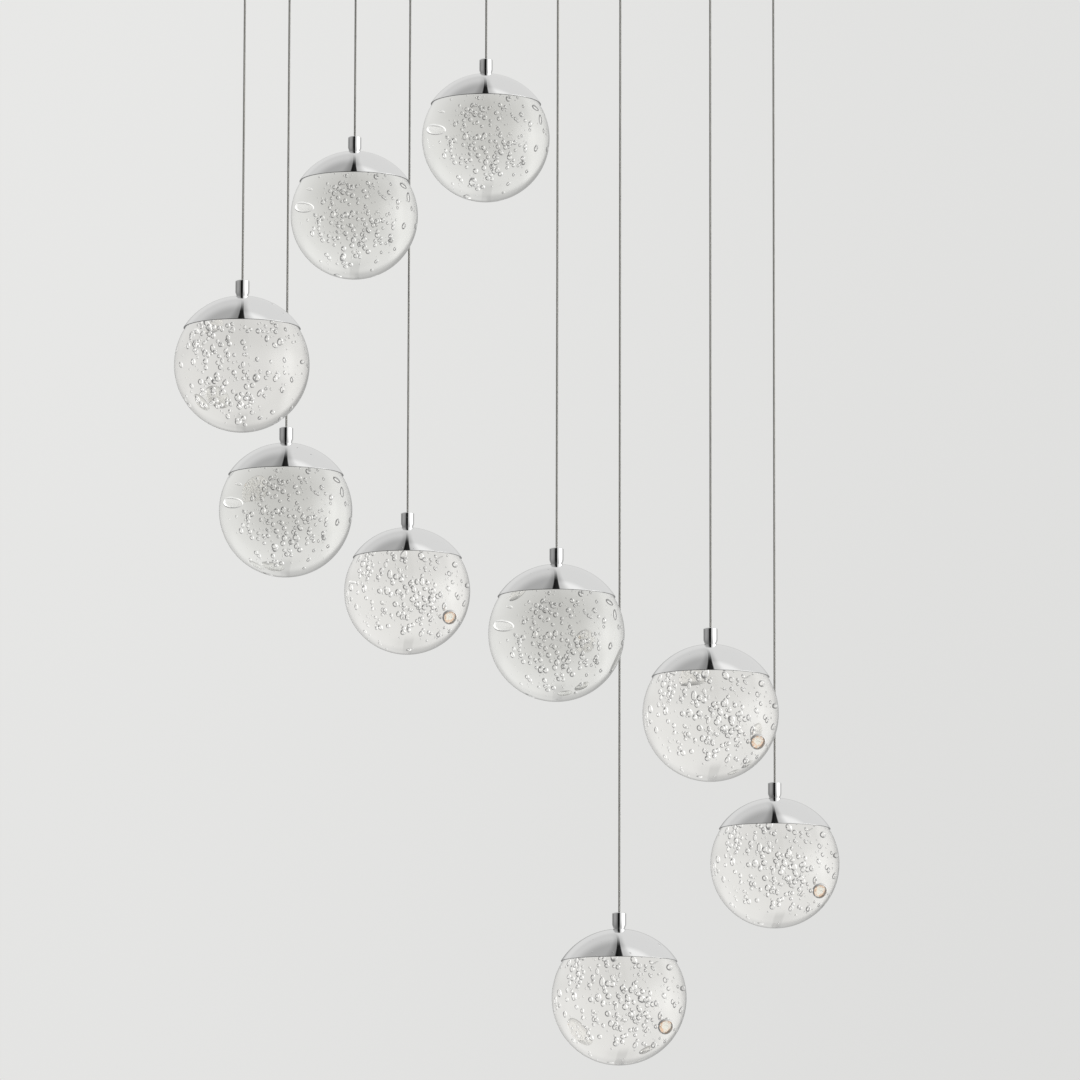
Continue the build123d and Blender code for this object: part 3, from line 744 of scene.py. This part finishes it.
def soft_box(wiring, x, y, level):
    """Bright soft box at the right, at the height of the light."""
    return wiring.times(wiring.ramp(x, 0.66, 0.94), wiring.ramp(level, 0.15, 0.6, 1.4, 0.0),
                        wiring.ramp(y, -0.1, 0.35, 1.0, 0.0))


def low_wall(wiring, x, y, level):
    """Low wall behind, darker to the left, as a share of light lost. It draws the ferrules' edges."""
    return wiring.times(wiring.ramp(y, 0.1, 0.4), wiring.ramp(x, -0.1, 0.1, 0.62, 0.3),
                        wiring.ramp(level, 0.15, 0.4, 1.0, 0.0))


def tone_off_bubbles(wiring, x, y, z):
    """What a ray finds that a bubble or the skin threw back inside the glass: bright on the right,
    dark low on the left, and even straight behind."""
    low_left = wiring.times_plus(z, -0.32, wiring.times(x, -0.9))
    beside = wiring.maths("ADD", wiring.ramp(low_left, -0.8, 0.4, 1.0, 0.20),
                          wiring.ramp(low_left, -0.9, -0.65, 0.45, 0.0))
    return wiring.mix(wiring.ramp(y, 0.97, 0.6), 0.55, beside)


def wall_in_picture(wiring, x, z):
    """Pale wall that the camera sees, a little darker to the right and lighter towards the top."""
    return wiring.maths("ADD", wiring.ramp(x, -0.075, 0.075, 0.792, 0.743),
                        wiring.ramp(z, 0.06, 0.22, -0.014, 0.014))


def make_world():
    """Studio by direction: the front panels and their dark gap, the backdrop, and, for rays that have
    not passed through glass, the soft box and the low wall. A ray that has crossed four faces of glass,
    as through a bubble or two globes, finds it a tenth brighter. A ray thrown back inside the glass
    finds a tone of its own. What is matt is lit evenly, and the camera sees a pale wall. All of it is a
    shade warmer than grey."""
    matt_light = 0.95
    blue_share = 0.988
    world = bpy.data.worlds.new("studio")
    world.use_nodes = True
    bpy.context.scene.world = world
    wiring = Wiring(world.node_tree)
    x, y, z = wiring.split(wiring.coordinates("Generated"))
    level = wiring.maths("ABSOLUTE", z)
    ray = wiring.nodes.new("ShaderNodeLightPath").outputs
    through = wiring.maths("GREATER_THAN", ray["Transmission Depth"], 0.5)
    not_through = wiring.one_minus(through)
    through_four_faces = wiring.maths("GREATER_THAN", ray["Transmission Depth"], 3.5)
    thrown_back = wiring.times(through, ray["Is Reflection Ray"])

    # The backdrop begins at the back, farther forward low down and through glass.
    behind = wiring.times_plus(through, 0.3, wiring.times_plus(z, -0.3, y))
    studio = wiring.mix(wiring.ramp(behind, 0.38, 0.6), front_panels(wiring, x, y, z, through),
                        backdrop(wiring, x, z, through))
    studio = wiring.times(studio, wiring.one_minus(dark_gap(wiring, x, y, z, through)))
    studio = wiring.times_plus(soft_box(wiring, x, y, level), not_through, studio)
    wall_shade = wiring.times(low_wall(wiring, x, y, level), not_through)
    studio = wiring.times(studio, wiring.one_minus(wall_shade))
    studio = wiring.times(studio, wiring.times_plus(through_four_faces, 0.1, 1.0))
    studio = wiring.mix(thrown_back, studio, tone_off_bubbles(wiring, x, y, z))

    shown = wiring.mix(ray["Is Diffuse Ray"], studio, matt_light)
    shown = wiring.mix(ray["Is Camera Ray"], shown, wall_in_picture(wiring, x, z))
    colour = wiring.give(wiring.nodes.new("ShaderNodeCombineColor"), {
        "Red": shown, "Green": shown, "Blue": wiring.times(shown, blue_share)})["Color"]
    wiring.give(wiring.nodes["Background"], {"Color": colour})


# ======================= Finishes of the carried-over nodes =======================

FINISHES = {
    "canopy_plate": CHROME,
    "canopy_band": CHROME,
    "cap_nuts": CHROME,
    "cable_grips": CHROME,
    "mounting_cross": ZINC,
    "led_driver": DRIVER_CASE,
    "lamp_holder": ALUMINIUM,
    "led_board": SOLDER_MASK,
}


def finish_carried_nodes():
    """Gives each carried-over node its finish. None of them shows in the caps or through the globes."""
    for name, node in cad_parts.items():
        kind = name.rstrip("0123456789").rstrip("_")
        if kind in FINISHES:
            node.data.materials.clear()
            node.data.materials.append(FINISHES[kind])
            node.visible_glossy = node.visible_transmission = False


bpy.context.scene.view_settings.view_transform = "Standard"
make_camera()
make_world()
make_floor()
for number in PENDANTS:
    make_cable(number)
    make_ferrule(number)
    make_cap(number)
    make_globe(number)
finish_carried_nodes()
